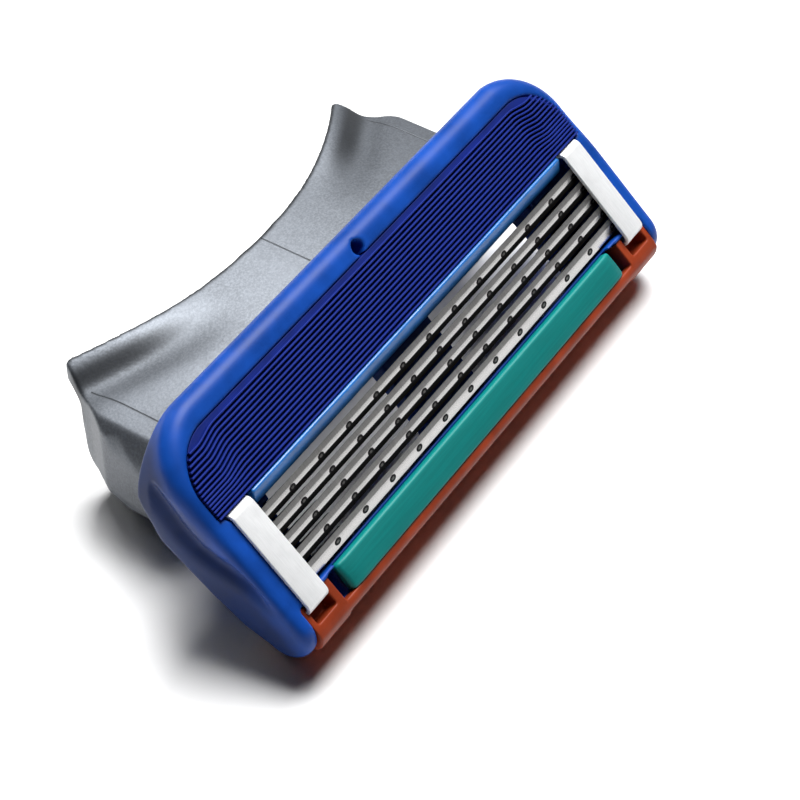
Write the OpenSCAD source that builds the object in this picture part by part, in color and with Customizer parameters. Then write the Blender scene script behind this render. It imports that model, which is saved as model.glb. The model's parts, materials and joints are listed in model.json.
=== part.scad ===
// Five-blade shaving cartridge: a pivoting blade head on a connector yoke.
// Row frame: +X along the blades, +Y towards the mouth that takes the handle, +Z up, z = 0 is the table.
// Head frame: x along the blades, y from the cap to the guard, z out of the shaving face.
// Its y and z are called v and w below; w = 0 is the top of the clips.

/* [Head] */
// Overall length of the blade head
head_length = 42; // [40:0.5:50]
// Angle between the shaving face and the table at rest
face_tilt = 42.4; // [38:0.1:46]
// Distance of the guard rim's outer edge from the last blade's weld line
guard_edge = 12.55; // [12:0.05:15]
// Radius of the rolled guard rim
rim_r = 1.1; // [0.9:0.05:1.3]
// Plan radius of the two guard corners
guard_corner_r = 4.6; // [3.5:0.1:5.5]
// Thickness of the guard beam behind the fins
beam_t = 1.15; // [0.9:0.05:1.4]
// Depth of the housing's top below the clip straps
housing_drop = 0.02; // [0.01:0.01:0.1]

/* [Blades] */
// Length of each blade
blade_length = 36.6; // [34:0.1:40]
// Distance between neighbouring cutting edges
blade_pitch = 1.06; // [1:0.01:1.1]
// Width of each blade from edge to back
blade_width = 1.0; // [0.9:0.01:1.05]
// Thickness of each blade
blade_t = 0.1; // [0.08:0.01:0.12]
// Angle of each blade to the shaving face
blade_angle = 21.5; // [18:0.5:25]
// Width of the ground bevel
bevel_width = 0.36; // [0.2:0.01:0.4]
// Thickness of the bent supports
support_t = 0.12; // [0.1:0.01:0.14]
// Depth of the supports' lower edge below the clips
support_depth = 2.3; // [2:0.05:2.4]
// Travel of each blade into the head
blade_travel = 0.25; // [0.1:0.01:0.3]

/* [Clips] */
// Width of each clip
clip_width = 1.9; // [1.6:0.05:2.2]
// Thickness of the clip strap
clip_t = 0.28; // [0.2:0.01:0.3]
// Distance of the clip's outer side from the end of the head
clip_inset = 1.45; // [1.3:0.05:2]

/* [Guard] */
// Number of fins
fin_count = 16; // [8:1:16]
// Distance between fins
fin_pitch = 0.285; // [0.25:0.005:0.29]
// Thickness of one fin
fin_t = 0.14; // [0.1:0.01:0.18]
// Height of the fins above their base
fin_height = 0.6; // [0.3:0.05:0.7]
// Thickness of the fins' base
fin_base_t = 0.5; // [0.4:0.05:0.7]

/* [Strip] */
// Length of the lubricating strip
strip_length = 32; // [28:0.5:33]
// Width of the lubricating strip
strip_width = 1.9; // [1.5:0.05:2]
// Thickness of the lubricating strip
strip_t = 0.9; // [0.6:0.05:1]

/* [Trimmer] */
// Length of the trimmer blade
trimmer_length = 28; // [20:0.5:29]
// Width of the trimmer blade
trimmer_width = 1.5; // [1.2:0.05:1.6]
// Thickness of the trimmer blade
trimmer_t = 0.1; // [0.08:0.01:0.12]
// Distance between comb notches
comb_pitch = 1.2; // [1:0.1:2]
// Width of one comb notch
comb_notch = 0.5; // [0.3:0.05:0.7]

/* [Pivot] */
// Pivot's place in the head, from the cap to the guard
pivot_v = 7.0; // [6.8:0.05:7.2]
// Pivot's depth below the shaving face
pivot_depth = 1.7; // [1.6:0.05:1.8]
// Inner radius of the shell bearing
bearing_r = 2.3; // [2.2:0.05:2.4]
// Thickness of the bearing finger
finger_t = 0.75; // [0.6:0.05:0.8]
// Length of the bearing finger into the housing
finger_length = 1.8; // [1.2:0.1:1.9]
// Swing of the head from its rest stop
pivot_swing = 41; // [30:1:41]

/* [Yoke] */
// Width of the yoke across its cheeks
yoke_width = 36; // [34:0.5:37]
// Height of the yoke above the table at the middle
yoke_height = 10.4; // [10:0.1:11]
// Reach of the mouth's lips behind the face origin
yoke_reach = 20.3; // [19:0.1:24]
// Reach of the upper wall at the middle
saddle_reach = 16.2; // [15.5:0.1:17]
// Reach of the cheeks, in front of the lips
cheek_reach = 18.8; // [17.5:0.1:19]
// Distance between the two lip tips
lip_span = 28.4; // [26:0.1:29]
// Wall of the yoke
yoke_wall = 1.1; // [0.8:0.05:1.3]
// Bore for the handle's plunger
plunger_r = 2.2; // [1.8:0.1:2.5]
// Length of the plunger bore
plunger_length = 3; // [2:0.1:4]

/* [Clearances] */
// Clearance between pieces that are fitted together
seat_gap = 0.02; // [0.01:0.01:0.04]
// Running clearance of the shell bearing, each side
bearing_gap = 0.05; // [0.03:0.01:0.08]
// Clearance of the supports in their slots, each side
slot_gap = 0.05; // [0.03:0.01:0.08]

/* [Hidden] */
big = 60;
$fn = 64;

// Blades: edge 5 is nearest the cap, edge 1 nearest the guard
edge_5_v = 0.42;
under_clip_w = -clip_t - seat_gap;
edge_w = under_clip_w;
function edge_v(k) = edge_5_v + (5 - k) * blade_pitch;
platform_mid = blade_t + support_t / 2;
function leg_v(k) = edge_v(k) - blade_width * cos(blade_angle) + platform_mid * sin(blade_angle);
rear_w = edge_w - blade_width * sin(blade_angle) - platform_mid * cos(blade_angle);

// Housing
top_w = -clip_t - housing_drop;
half_len = head_length / 2;
cap_edge_v = -3.75;
lobe_r = 1.85;
lobe_v = cap_edge_v + lobe_r;
lobe_w = top_w - lobe_r;
rim_v = guard_edge - rim_r;
rim_w = top_w - rim_r;
belly_r = 2.35;
belly_v = pivot_v - 0.7;
belly_w = -3.4;
corner_back = [[10.7, -3.7], [9.6, -4.7]];
belly_back = [[2.1, -5.3], [-0.6, -4.75]];
gate_v = 11.27;
gate_r = 0.5;
arm_half_w = 0.32;
bay_low_v = leg_v(5) - arm_half_w - 0.03;
bay_high_v = edge_v(1) + 0.3;
bay_half = blade_length / 2 - 1;
block_half = 15.2;
arm_w = -support_depth - 0.01;
arm_t = 0.45;
arm_tip_x = block_half - 2.5;
tip_pad = 1.5;
rib_half = 2.7;
rib_w = -support_depth - blade_travel - 0.1;
rib_back_w = -4.2;

// Guard
bar_high_v = bay_high_v + 0.96;
fin_low_v = bar_high_v + 0.02;
fin_high_v = fin_low_v + (fin_count - 1) * fin_pitch + 0.5;
fin_top_w = -0.12;
fin_floor_w = fin_top_w - fin_height - fin_base_t;
fin_half = half_len - 0.85;
fin_corner_r = guard_corner_r - 1.3;
beam_w = fin_floor_w - beam_t;

// Clips
clip_mid = half_len - clip_inset - clip_width / 2;
clip_low_v = -1.75;
clip_high_v = fin_low_v + 0.02;
hook = 0.7;

// Strip and trimmer carrier
strip_wall = 0.2;
strip_high_v = bay_low_v - strip_wall;
strip_low_v = strip_high_v - strip_width;
strip_gap_w = -2.2;
strip_wall_drop = 0.6;
nose_r = 0.55;
nose_v = strip_low_v - 0.25;
nose_w = -1.1;
nose_seat_w = -1.3;
nose_back = [-4.0, -3.3];
heel_r = 0.55;
heel_v = -3.3;
heel_w = -4.5;
plate_end_v = -1.2;
plate_end_w = -5.4;
plate_in_w = -4.2;
plate_angle = atan2(heel_w - heel_r - plate_end_w, heel_v - plate_end_v);
trimmer_start = 0.4;
trimmer_edge = trimmer_start + trimmer_width;
comb_side = floor((trimmer_length / 2 - comb_notch) / comb_pitch);
bracket_in = clip_mid - clip_width / 2 - 0.75;
bracket_out = half_len - 1.1;
bracket_w = -1.85;
bracket_high_v = -1.1;
bracket_r = 1.1;
bracket_nose_v = -2.85;
bracket_nose_w = -1.6;
bracket_slot_v = -2.6;

// Pivot and yoke
pocket_r0 = bearing_r - bearing_gap;
pocket_r1 = bearing_r + finger_t + bearing_gap;
arm_in = block_half - 2.6;
arm_out = block_half - 0.25;
link_h = 1.2;
finger_low = -70;
finger_high = -15;
end_gap = 2;
crown_drop = 1.4;
shoulder_drop = 0.6;
corner_r = (yoke_height - shoulder_drop) / 2 - 0.1;
front_top_y = 10.7;
front_low_y = 9.1;
front_foot_z = 1;
front_bend_z = 2.6;
// Plan of the cheeks: how far they are drawn in, and where
cheek_plan = [[0, 11], [0.5, 13.7], [1, 15.9], [2, 17.5]];
lip_round = 0.4;
lip_wall = 0.4;
lip_low_z = yoke_height - crown_drop - yoke_wall - lip_wall;
// Side view of the cheeks' back, from the table up to the lips
cheek_back = [[cheek_reach - 1.7, 0], [cheek_reach - 0.7, 2.2], [cheek_reach - 0.2, 3.3], [cheek_reach, 5.5],
    [cheek_reach, lip_low_z]];
rail_x = 8;
rail_t = 0.8;
rail_h = 0.8;
arm_gap = 0.14;
arm_drop = 0.72;

// The head lies on the carrier's heel; the row's middle in Y is between the carrier's nose and the lips
head_z = heel_r - heel_v * sin(face_tilt) - heel_w * cos(face_tilt);
nose_y = nose_v * cos(face_tilt) - nose_w * sin(face_tilt) - nose_r;
bracket_y = bracket_nose_v * cos(face_tilt) - bracket_nose_w * sin(face_tilt) - bracket_r;
head_y = -(min(nose_y, bracket_y) + yoke_reach) / 2;
pivot_y = pivot_v * cos(face_tilt) + pivot_depth * sin(face_tilt);
pivot_z = head_z + pivot_v * sin(face_tilt) - pivot_depth * cos(face_tilt);
plunger_z = 5.2;

function arc(cx, cy, r, a0, a1, n = 8) =
    [for (i = [0:n]) [cx + r * cos(a0 + (a1 - a0) * i / n), cy + r * sin(a0 + (a1 - a0) * i / n)]];

// Puts head-frame shapes where the head lies
module in_head() {
    translate([0, head_y, head_z]) rotate([face_tilt, 0, 0]) children();
}

// Puts yoke shapes behind the face origin, on the table
module in_yoke() {
    translate([0, head_y, 0]) children();
}

// Extrudes a (y, z) outline along X from x0 to x1
module run_x(x0, x1) {
    translate([x0, 0, 0]) rotate([90, 0, 90]) linear_extrude(x1 - x0) children();
}

module both_ends() {
    children();
    mirror([1, 0, 0]) children();
}

module box(x0, x1, y0, y1, z0, z1) {
    translate([x0, y0, z0]) cube([x1 - x0, y1 - y0, z1 - z0]);
}

// Part of a ring between two angles less than half a turn apart
module ring_sector(r0, r1, a0, a1) {
    reach = 2 * r1;
    intersection() {
        difference() {
            circle(r1, $fn = 96);
            circle(r0, $fn = 96);
        }
        polygon([[0, 0], [reach * cos(a0), reach * sin(a0)],
            [reach * cos((a0 + a1) / 2), reach * sin((a0 + a1) / 2)], [reach * cos(a1), reach * sin(a1)]]);
    }
}

// Plan with two round corners on the guard side
module guard_plan(half, v0, v1, r) {
    translate([-half, v0]) square([2 * half, v1 - v0 - r]);
    translate([-half + r, v0]) square([2 * (half - r), v1 - v0]);
    for (side = [-1, 1]) translate([side * (half - r), v1 - r]) circle(r);
}

// Side view of the housing: rolled rim, belly round the bearing, and the lobe on the cap side
module housing_side() {
    polygon(concat(
        arc(rim_v, rim_w, rim_r, 90, -25, 12),
        corner_back,
        arc(belly_v, belly_w, belly_r, -60, -95, 6),
        belly_back,
        arc(lobe_v, lobe_w, lobe_r, -100, -270, 14)
    ));
}

// The carrier's outside: nose beside the strip, heel on the table, plate on the back
module carrier_side() {
    polygon(concat(
        [[strip_low_v - seat_gap, nose_w + nose_r]],
        arc(nose_v, nose_w, nose_r, 90, 180, 8),
        [nose_back],
        arc(heel_v, heel_w, heel_r, 190, 270 + plate_angle - 180, 8),
        [[plate_end_v, plate_end_w], [plate_end_v, plate_in_w], [strip_low_v - seat_gap, nose_seat_w]]
    ));
}

// What the strip's side of the housing gives up to the carrier's nose
module nose_recess(gap) {
    box(-bracket_in - gap, bracket_in + gap, -big, strip_low_v - seat_gap + gap, nose_seat_w - gap, big);
}

module bracket_recess(gap) {
    both_ends() box(bracket_in - gap, bracket_out + gap, -big, bracket_high_v + gap, bracket_w - gap, big);
}

module clip_slots(gap) {
    for (v = [clip_low_v, clip_high_v - clip_t])
        both_ends() box(clip_mid - clip_width / 2 - gap, clip_mid + clip_width / 2 + gap,
            v - gap, v + clip_t + gap, -big, big);
}

module housing_frame() {
    color("royalblue") in_head() {
        housing_shell();
        centre_rib();
    }
}

module housing_shell() {
    difference() {
        intersection() {
            run_x(-half_len, half_len) housing_side();
            translate([0, 0, -big / 2]) linear_extrude(big)
                guard_plan(half_len, cap_edge_v, guard_edge, guard_corner_r);
        }
        // bay for the blades, open through the back between the end blocks
        box(-block_half, block_half, bay_low_v, bay_high_v, -big, big);
        box(-bay_half, bay_half, bay_low_v, edge_v(1) - 0.5, arm_w - arm_t - 0.15, big);
        box(-bay_half, bay_half, bay_low_v, bay_high_v, -2.4, big);
        // guard beam, thin enough to swing over the yoke's arms
        box(-block_half, block_half, bay_high_v - 1, big, -big, beam_w);
        // ends of the blades and slots for the ends of their supports
        box(-blade_length / 2 - 0.15, blade_length / 2 + 0.15, bay_low_v, bay_high_v, rear_w - 0.7, big);
        for (k = [1:5])
            box(-blade_length / 2 - 0.1, blade_length / 2 + 0.1, leg_v(k) - support_t / 2 - slot_gap,
                leg_v(k) + support_t / 2 + slot_gap, -support_depth - blade_travel - 0.1, 0);
        // seats of the bar, the fins and the strip
        box(-bay_half, bay_half, bay_high_v - 0.1, bar_high_v + seat_gap, fin_floor_w, big);
        translate([0, 0, fin_floor_w]) linear_extrude(big)
            guard_plan(fin_half, bar_high_v, fin_high_v, fin_corner_r);
        box(-strip_length / 2 - seat_gap, strip_length / 2 + seat_gap, strip_low_v - seat_gap,
            strip_high_v + seat_gap, top_w - strip_t, big);
        // low wall between the strip and the bay
        box(-strip_length / 2, strip_length / 2, strip_high_v, bay_low_v + seat_gap, top_w - strip_wall_drop, big);
        // gap between each end of the strip and the loop of the carrier
        both_ends() box(strip_length / 2, bracket_in, strip_low_v - seat_gap, strip_high_v + seat_gap,
            strip_gap_w, big);
        nose_recess(0);
        bracket_recess(0);
        clip_slots(seat_gap);
        // pockets of the shell bearing
        both_ends() translate([0, pivot_v, -pivot_depth])
            run_x(block_half - 1, block_half + finger_length + 0.1)
                ring_sector(pocket_r0, pocket_r1, finger_low - face_tilt - pivot_swing - end_gap,
                    finger_high - face_tilt + end_gap);
        // gate hole in the rim
        translate([0, gate_v, rim_w - 0.6]) cylinder(h = big, r = gate_r);
    }
}

// Rib across the back, with the cam that the handle's plunger leans on
module centre_rib() {
    box(-rib_half, rib_half, bay_low_v, bay_high_v + 0.3, rib_back_w, rib_w);
    intersection() {
        box(-rib_half, rib_half, bay_high_v, guard_edge, rib_back_w, beam_w);
        translate([0, pivot_v, -pivot_depth]) run_x(-rib_half, rib_half) circle(bearing_r + 0.6);
    }
}

module fin_guard() {
    color("navy") in_head() difference() {
        intersection() {
            union() {
                box(-big, big, fin_low_v, big, fin_floor_w, fin_floor_w + fin_base_t);
                for (i = [0:fin_count - 1])
                    box(-big, big, fin_low_v + 0.05 + i * fin_pitch, fin_low_v + 0.05 + i * fin_pitch + fin_t,
                        fin_floor_w, fin_top_w);
            }
            translate([0, 0, -big / 2]) linear_extrude(big)
                guard_plan(fin_half - seat_gap, fin_low_v, fin_high_v - seat_gap, fin_corner_r);
        }
        clip_slots(seat_gap);
    }
}

module guard_bar() {
    color("steelblue") in_head() run_x(-bay_half + seat_gap, bay_half - seat_gap) polygon(concat(
        [[bay_high_v, fin_floor_w], [bar_high_v, fin_floor_w]],
        arc(bar_high_v - 0.15, fin_top_w - 0.15, 0.15, 0, 120, 6),
        arc(bay_high_v + 0.2, fin_top_w - 0.75, 0.2, 120, 180, 4)
    ));
}

module lubricating_strip() {
    edge = 0.15;
    color("lightseagreen") in_head() run_x(-strip_length / 2, strip_length / 2) polygon(concat(
        [[strip_low_v, top_w - strip_t], [strip_high_v, top_w - strip_t]],
        arc(strip_high_v - edge, top_w - edge, edge, 0, 90, 5),
        arc(strip_low_v + edge, top_w - edge, edge, 90, 180, 5)
    ));
}

// Frame whose x runs along the carrier's back plate, from its end to the heel, and whose z points out of it
module on_plate() {
    translate([0, plate_end_v, plate_end_w]) rotate([plate_angle, 0, 0]) children();
}

module trimmer_carrier() {
    color("chocolate") in_head() difference() {
        union() {
            difference() {
                run_x(-bracket_out, bracket_out) carrier_side();
                run_x(-big, big) housing_side();
            }
            intersection() {
                run_x(-bracket_in, bracket_in) carrier_side();
                nose_recess(0);
                run_x(-big, big) housing_side();
            }
            bracket();
        }
        clip_slots(seat_gap);
        both_ends() box(clip_mid - clip_width / 2 - 0.1, bracket_out - 0.45,
            bracket_slot_v, big, bracket_w + 0.2, big);
        // recess for the trimmer blade and notches of the comb in front of it
        on_plate() box(-trimmer_length / 2 - seat_gap, trimmer_length / 2 + seat_gap,
            trimmer_start, trimmer_edge + seat_gap, -trimmer_t, 1);
        for (i = [-comb_side:comb_side])
            on_plate() box(i * comb_pitch - comb_notch / 2, i * comb_pitch + comb_notch / 2,
                trimmer_edge - 0.1, trimmer_edge + 0.7, -0.35, 1);
    }
}

// Loop round the clip's leg at each end
module bracket() {
    both_ends() intersection() {
        box(bracket_in + seat_gap, bracket_out - seat_gap, -big, bracket_high_v - seat_gap,
            bracket_w + seat_gap, top_w - 0.1);
        run_x(0, big) polygon(concat(
            [[0, 0], [0, -3], [bracket_nose_v - bracket_r, -3]],
            arc(bracket_nose_v, bracket_nose_w, bracket_r, 180, 90, 8),
            [[0, bracket_nose_w + bracket_r]]
        ));
    }
}

module trimmer_blade() {
    back = trimmer_start + seat_gap;
    bevel = trimmer_edge - bevel_width;
    color("silver") in_head() on_plate() run_x(-trimmer_length / 2, trimmer_length / 2)
        polygon([[back, 0], [bevel, 0], [trimmer_edge, -trimmer_t / 2], [bevel, -trimmer_t],
            [back, -trimmer_t]]);
}

// A strap over the face with a leg through the housing at each end and a hook behind it
module clip(side) {
    low_back = plate_end_w - 0.06;
    high_back = belly_w - belly_r - seat_gap;
    color("gainsboro") in_head() translate([side * clip_mid, 0, 0]) run_x(-clip_width / 2, clip_width / 2) {
        translate([clip_low_v, -clip_t]) square([clip_high_v - clip_low_v, clip_t]);
        translate([clip_low_v, low_back - clip_t]) square([clip_t, -low_back]);
        translate([clip_low_v, low_back - clip_t]) square([hook + clip_t, clip_t]);
        translate([clip_high_v - clip_t, high_back - clip_t]) square([clip_t, -high_back]);
        translate([clip_high_v - clip_t, high_back - clip_t]) square([hook + clip_t, clip_t]);
    }
}

// Blade k: a ground strip that rises towards its edge
module blade(k) {
    color("lightgray") in_head() translate([0, edge_v(k), edge_w]) rotate([blade_angle, 0, 0])
        run_x(-blade_length / 2, blade_length / 2)
            polygon([[0, -blade_t / 2], [-bevel_width, 0], [-blade_width, 0], [-blade_width, -blade_t],
                [-bevel_width, -blade_t]]);
}

// Support k: a platform under the blade, bent down into a leg
module blade_support(k) {
    color("darkgray") in_head() run_x(-blade_length / 2, blade_length / 2) {
        translate([edge_v(k), edge_w]) rotate(blade_angle) translate([-blade_width, -blade_t - support_t])
            square([blade_width - bevel_width - 0.1, support_t]);
        translate([leg_v(k), rear_w]) circle(support_t / 2, $fn = 32);
        translate([leg_v(k) - support_t / 2, -support_depth]) square([support_t, support_depth + rear_w]);
    }
}

// The two sprung fingers under blade k
module spring_arms(k) {
    color("midnightblue") in_head() both_ends() intersection() {
        box(0, bay_half, leg_v(k) - arm_half_w, leg_v(k) + arm_half_w, -big, 0);
        translate([0, big / 2, 0]) rotate([90, 0, 0]) linear_extrude(big) polygon([
            [arm_tip_x, arm_w], [arm_tip_x + tip_pad, arm_w], [bay_half, arm_w - 0.15],
            [bay_half, arm_w - 0.1 - arm_t], [arm_tip_x, arm_w - 0.3]
        ]);
    }
}

// Flattened tube of the yoke, taken in by a wall; past is how far it runs on behind the lips
module yoke_form(inset, past) {
    half = yoke_width / 2 - inset;
    high = yoke_height - inset;
    r = corner_r - inset;
    lip_half = lip_span / 2;
    lip_y = yoke_reach + past;
    crown_r = (pow(lip_half, 2) + pow(crown_drop, 2)) / (2 * crown_drop);
    hollow = yoke_reach - saddle_reach;
    mouth_r = (pow(lip_half, 2) + pow(hollow, 2)) / (2 * hollow);
    intersection() {
        translate([0, big, 0]) rotate([90, 0, 0]) linear_extrude(big) intersection() {
            union() {
                for (side = [-1, 1], z = [inset + r, high - shoulder_drop - r])
                    translate([side * (half - r), z]) circle(r);
                translate([-half + r, inset]) square([2 * (half - r), high - inset]);
                translate([-half, inset + r]) square([2 * half, high - shoulder_drop - 2 * r - inset]);
            }
            translate([0, high - crown_r]) circle(crown_r, $fn = 256);
        }
        linear_extrude(big) difference() {
            both_ends() polygon(concat(
                [[0, 0], [half, 0]],
                [for (p = cheek_plan) [half - p[0], p[1]]],
                [[lip_half + lip_round - inset, lip_y], [0, lip_y]]
            ));
            if (past == 0) translate([0, saddle_reach + mouth_r]) circle(mouth_r, $fn = 192);
        }
        run_x(-big, big) polygon([[front_low_y + inset, 0], [front_low_y + inset, front_foot_z],
            [front_top_y + inset, front_bend_z], [front_top_y + inset, big], [big, big], [big, 0]]);
    }
}

module yoke() {
    color("slategray") in_yoke() difference() {
        union() {
            difference() {
                yoke_form(0, 0);
                yoke_form(yoke_wall, 5);
                // the cheeks end in front of the lips
                run_x(-big, big) polygon(concat([[cheek_back[0][0], -1]], cheek_back,
                    [[big, lip_low_z], [big, -1]]));
            }
            // boss of the plunger bore
            translate([0, front_top_y + yoke_wall / 2, plunger_z]) rotate([-90, 0, 0])
                cylinder(h = plunger_length - yoke_wall / 2, r = plunger_r + yoke_wall);
            // guide rails for the handle's nose
            both_ends() box(rail_x, rail_x + rail_t, front_top_y + yoke_wall / 2, saddle_reach,
                yoke_wall - 0.05, yoke_wall + rail_h);
            both_ends() bearing_arm();
        }
        translate([0, 0, plunger_z]) rotate([-90, 0, 0])
            cylinder(h = front_top_y + plunger_length + 1, r = plunger_r);
    }
}

// Arm beside the end block, with the finger that runs in the block's pocket
module bearing_arm() {
    translate([0, pivot_y, pivot_z]) run_x(arm_in, block_half + finger_length)
        ring_sector(bearing_r, bearing_r + finger_t, finger_low, finger_high);
    box(arm_in, arm_out, pivot_y + bearing_r + arm_gap, front_top_y + yoke_wall / 2,
        pivot_z - arm_drop - link_h, pivot_z - arm_drop);
}

housing_frame();
fin_guard();
guard_bar();
lubricating_strip();
trimmer_carrier();
trimmer_blade();
clip(-1);  // clip_left
clip(1);  // clip_right
for (k = [1:5]) {
    blade(k);
    blade_support(k);
    spring_arms(k);
}
yoke();
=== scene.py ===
"""Five-blade shaving cartridge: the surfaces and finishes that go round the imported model."""

import json
import math

import bmesh
import bpy
import numpy as np
from bpy.props import FloatProperty, FloatVectorProperty, IntProperty, PointerProperty
from mathutils import Matrix, Vector


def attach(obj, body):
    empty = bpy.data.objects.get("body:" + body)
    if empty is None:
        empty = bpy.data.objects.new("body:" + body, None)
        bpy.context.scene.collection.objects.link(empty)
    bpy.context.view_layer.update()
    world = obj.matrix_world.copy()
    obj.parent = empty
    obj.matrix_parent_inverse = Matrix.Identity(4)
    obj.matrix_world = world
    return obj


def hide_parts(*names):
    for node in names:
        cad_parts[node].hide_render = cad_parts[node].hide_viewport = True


bl_info = {
    "name": "Shaving Cartridge",
    "version": (1, 0, 0),
    "blender": (4, 5, 0),
    "location": "3D View > Sidebar > Cartridge",
    "description": "Builds the pieces and finishes of a five-blade shaving cartridge",
    "category": "Add Mesh",
}

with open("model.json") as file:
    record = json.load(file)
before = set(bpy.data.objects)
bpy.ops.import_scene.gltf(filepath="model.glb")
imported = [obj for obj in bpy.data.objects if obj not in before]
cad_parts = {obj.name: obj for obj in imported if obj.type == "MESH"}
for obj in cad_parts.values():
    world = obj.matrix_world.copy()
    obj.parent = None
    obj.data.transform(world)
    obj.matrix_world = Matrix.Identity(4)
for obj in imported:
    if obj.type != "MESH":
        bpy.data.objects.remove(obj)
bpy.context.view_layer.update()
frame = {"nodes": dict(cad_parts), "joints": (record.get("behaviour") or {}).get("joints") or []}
MM = 0.001
BLADES = range(1, 6)


# ---------------------------------------------------------------- places

def joint(name):
    return next(j for j in frame["joints"] if j["name"] == name)


# The head frame: u along the blades, v from the cap to the guard, w out of the shaving face, in millimetres
FLOAT_AXIS = Vector(joint("blade_1_float")["axis"])
TILT = math.atan2(FLOAT_AXIS.y, -FLOAT_AXIS.z)
PIVOT = Vector(joint("head_pivot")["pos_m"])
PIVOT_IN_HEAD = Vector((0, 7.0, -1.7))
HEAD = (Matrix.Translation(PIVOT) @ Matrix.Rotation(TILT, 4, "X") @ Matrix.Scale(MM, 4)
        @ Matrix.Translation(-PIVOT_IN_HEAD))
# The yoke frame: the same origin along Y, but level with the table
YOKE = Matrix.Translation((0, HEAD.translation.y, 0)) @ Matrix.Scale(MM, 4)

# The mouth's lips, in the yoke frame: an arch from the middle of the saddle back to the two horns
SADDLE_Y = 16.2
LIP_Y = 20.3
LIP_HALF = 14.2


def vertices(mesh):
    flat = np.empty(len(mesh.vertices) * 3, np.float32)
    mesh.vertices.foreach_get("co", flat)
    return flat.reshape(-1, 3).astype(float)


def box_in(place, node):
    """Lowest and highest corner of a CAD node in one of the frames above"""
    turn = np.array(place.inverted())
    points = vertices(frame["nodes"][node].data) @ turn[:3, :3].T + turn[:3, 3]
    return points.min(0), points.max(0)


def smooth_step(x):
    x = np.clip(x, 0, 1)
    return x * x * (3 - 2 * x)


def arc(cx, cy, r, start, end, steps=8):
    """Points along part of a circle; the angles are in degrees"""
    angles = np.radians(np.linspace(start, end, steps + 1))
    return [(cx + r * math.cos(a), cy + r * math.sin(a)) for a in angles]


# ---------------------------------------------------------------- shader and geometry maths

class Link:
    """A node's output that takes part in arithmetic: an expression adds its Math nodes"""

    def __init__(self, graph, made, output):
        self.graph = graph
        self.made = made
        self.socket = made.outputs[output]

    def math(self, operation, *values):
        return self.graph.node("ShaderNodeMath", {"operation": operation}, dict(enumerate(values)))

    def __add__(self, other):
        return self.math("ADD", self, other)

    def __radd__(self, other):
        return self.math("ADD", other, self)

    def __sub__(self, other):
        return self.math("SUBTRACT", self, other)

    def __rsub__(self, other):
        return self.math("SUBTRACT", other, self)

    def __neg__(self):
        return self.math("MULTIPLY", self, -1.0)

    def __mul__(self, other):
        return self.math("MULTIPLY", self, other)

    def __rmul__(self, other):
        return self.math("MULTIPLY", other, self)

    def __truediv__(self, other):
        return self.math("DIVIDE", self, other)

    def __pow__(self, other):
        return self.math("POWER", self, other)

    def __gt__(self, other):
        return self.math("GREATER_THAN", self, other)

    def __lt__(self, other):
        return self.math("LESS_THAN", self, other)

    def __abs__(self):
        return self.math("ABSOLUTE", self)

    def at_least(self, floor):
        return self.math("MAXIMUM", self, floor)


class Graph:
    """Nodes of a material or of a geometry tree, made one call at a time"""

    def __init__(self, tree):
        self.tree = tree

    def node(self, kind, settings=None, inputs=None, output=0):
        made = self.tree.nodes.new(kind)
        for name, value in (settings or {}).items():
            setattr(made, name, value)
        for key, value in (inputs or {}).items():
            if isinstance(value, Link):
                self.tree.links.new(value.socket, made.inputs[key])
            else:
                made.inputs[key].default_value = value
        return Link(self, made, output)

    def mix(self, factor, first, second):
        settings = {"data_type": "RGBA", "clamp_factor": True}
        return self.node("ShaderNodeMix", settings, {0: factor, 6: first, 7: second}, 2)

    def place(self, home):
        """Object coordinates turned into the head's or the yoke's frame, in millimetres"""
        back = home.inverted()
        coords = self.node("ShaderNodeTexCoord", output="Object")
        turn = {"Location": back.translation, "Rotation": back.to_euler(), "Scale": back.to_scale()}
        return self.node("ShaderNodeMapping", {"vector_type": "POINT"}, {"Vector": coords, **turn})

    def stretch(self, vector, factors):
        return self.node("ShaderNodeVectorMath", {"operation": "MULTIPLY"}, {0: vector, 1: factors})

    def noise(self, vector, scale, detail=2.0, rough=0.5):
        return self.node("ShaderNodeTexNoise", {}, {"Vector": vector, "Scale": scale, "Detail": detail,
                                                    "Roughness": rough})

    def ramp(self, factor, low, high):
        """0 below low, 1 above high, smooth between"""
        return self.node("ShaderNodeMapRange", {"interpolation_type": "SMOOTHSTEP"},
                         {"Value": factor, "From Min": low, "From Max": high})

    def axes(self, vector):
        split = self.node("ShaderNodeSeparateXYZ", {}, {0: vector})
        return [Link(self, split.made, i) for i in range(3)]

    def bump(self, height, strength, distance):
        return self.node("ShaderNodeBump", {},
                         {"Height": height, "Strength": strength, "Distance": distance * MM})


def rgba(colour, factor=1.0):
    return tuple(min(1.0, c * factor) for c in colour[:3]) + (1.0,)


def new_material(name):
    material = bpy.data.materials.new(name)
    material.use_nodes = True
    material.node_tree.nodes.clear()
    return material, Graph(material.node_tree)


def close_material(graph, **inputs):
    """Ends a material in its shader; a name's underscores stand for the spaces of the socket"""
    inputs = {name.replace("_", " "): value for name, value in inputs.items()}
    shader = graph.node("ShaderNodeBsdfPrincipled", {}, inputs, "BSDF")
    output = graph.tree.nodes.new("ShaderNodeOutputMaterial")
    graph.tree.links.new(shader.socket, output.inputs["Surface"])


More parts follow.
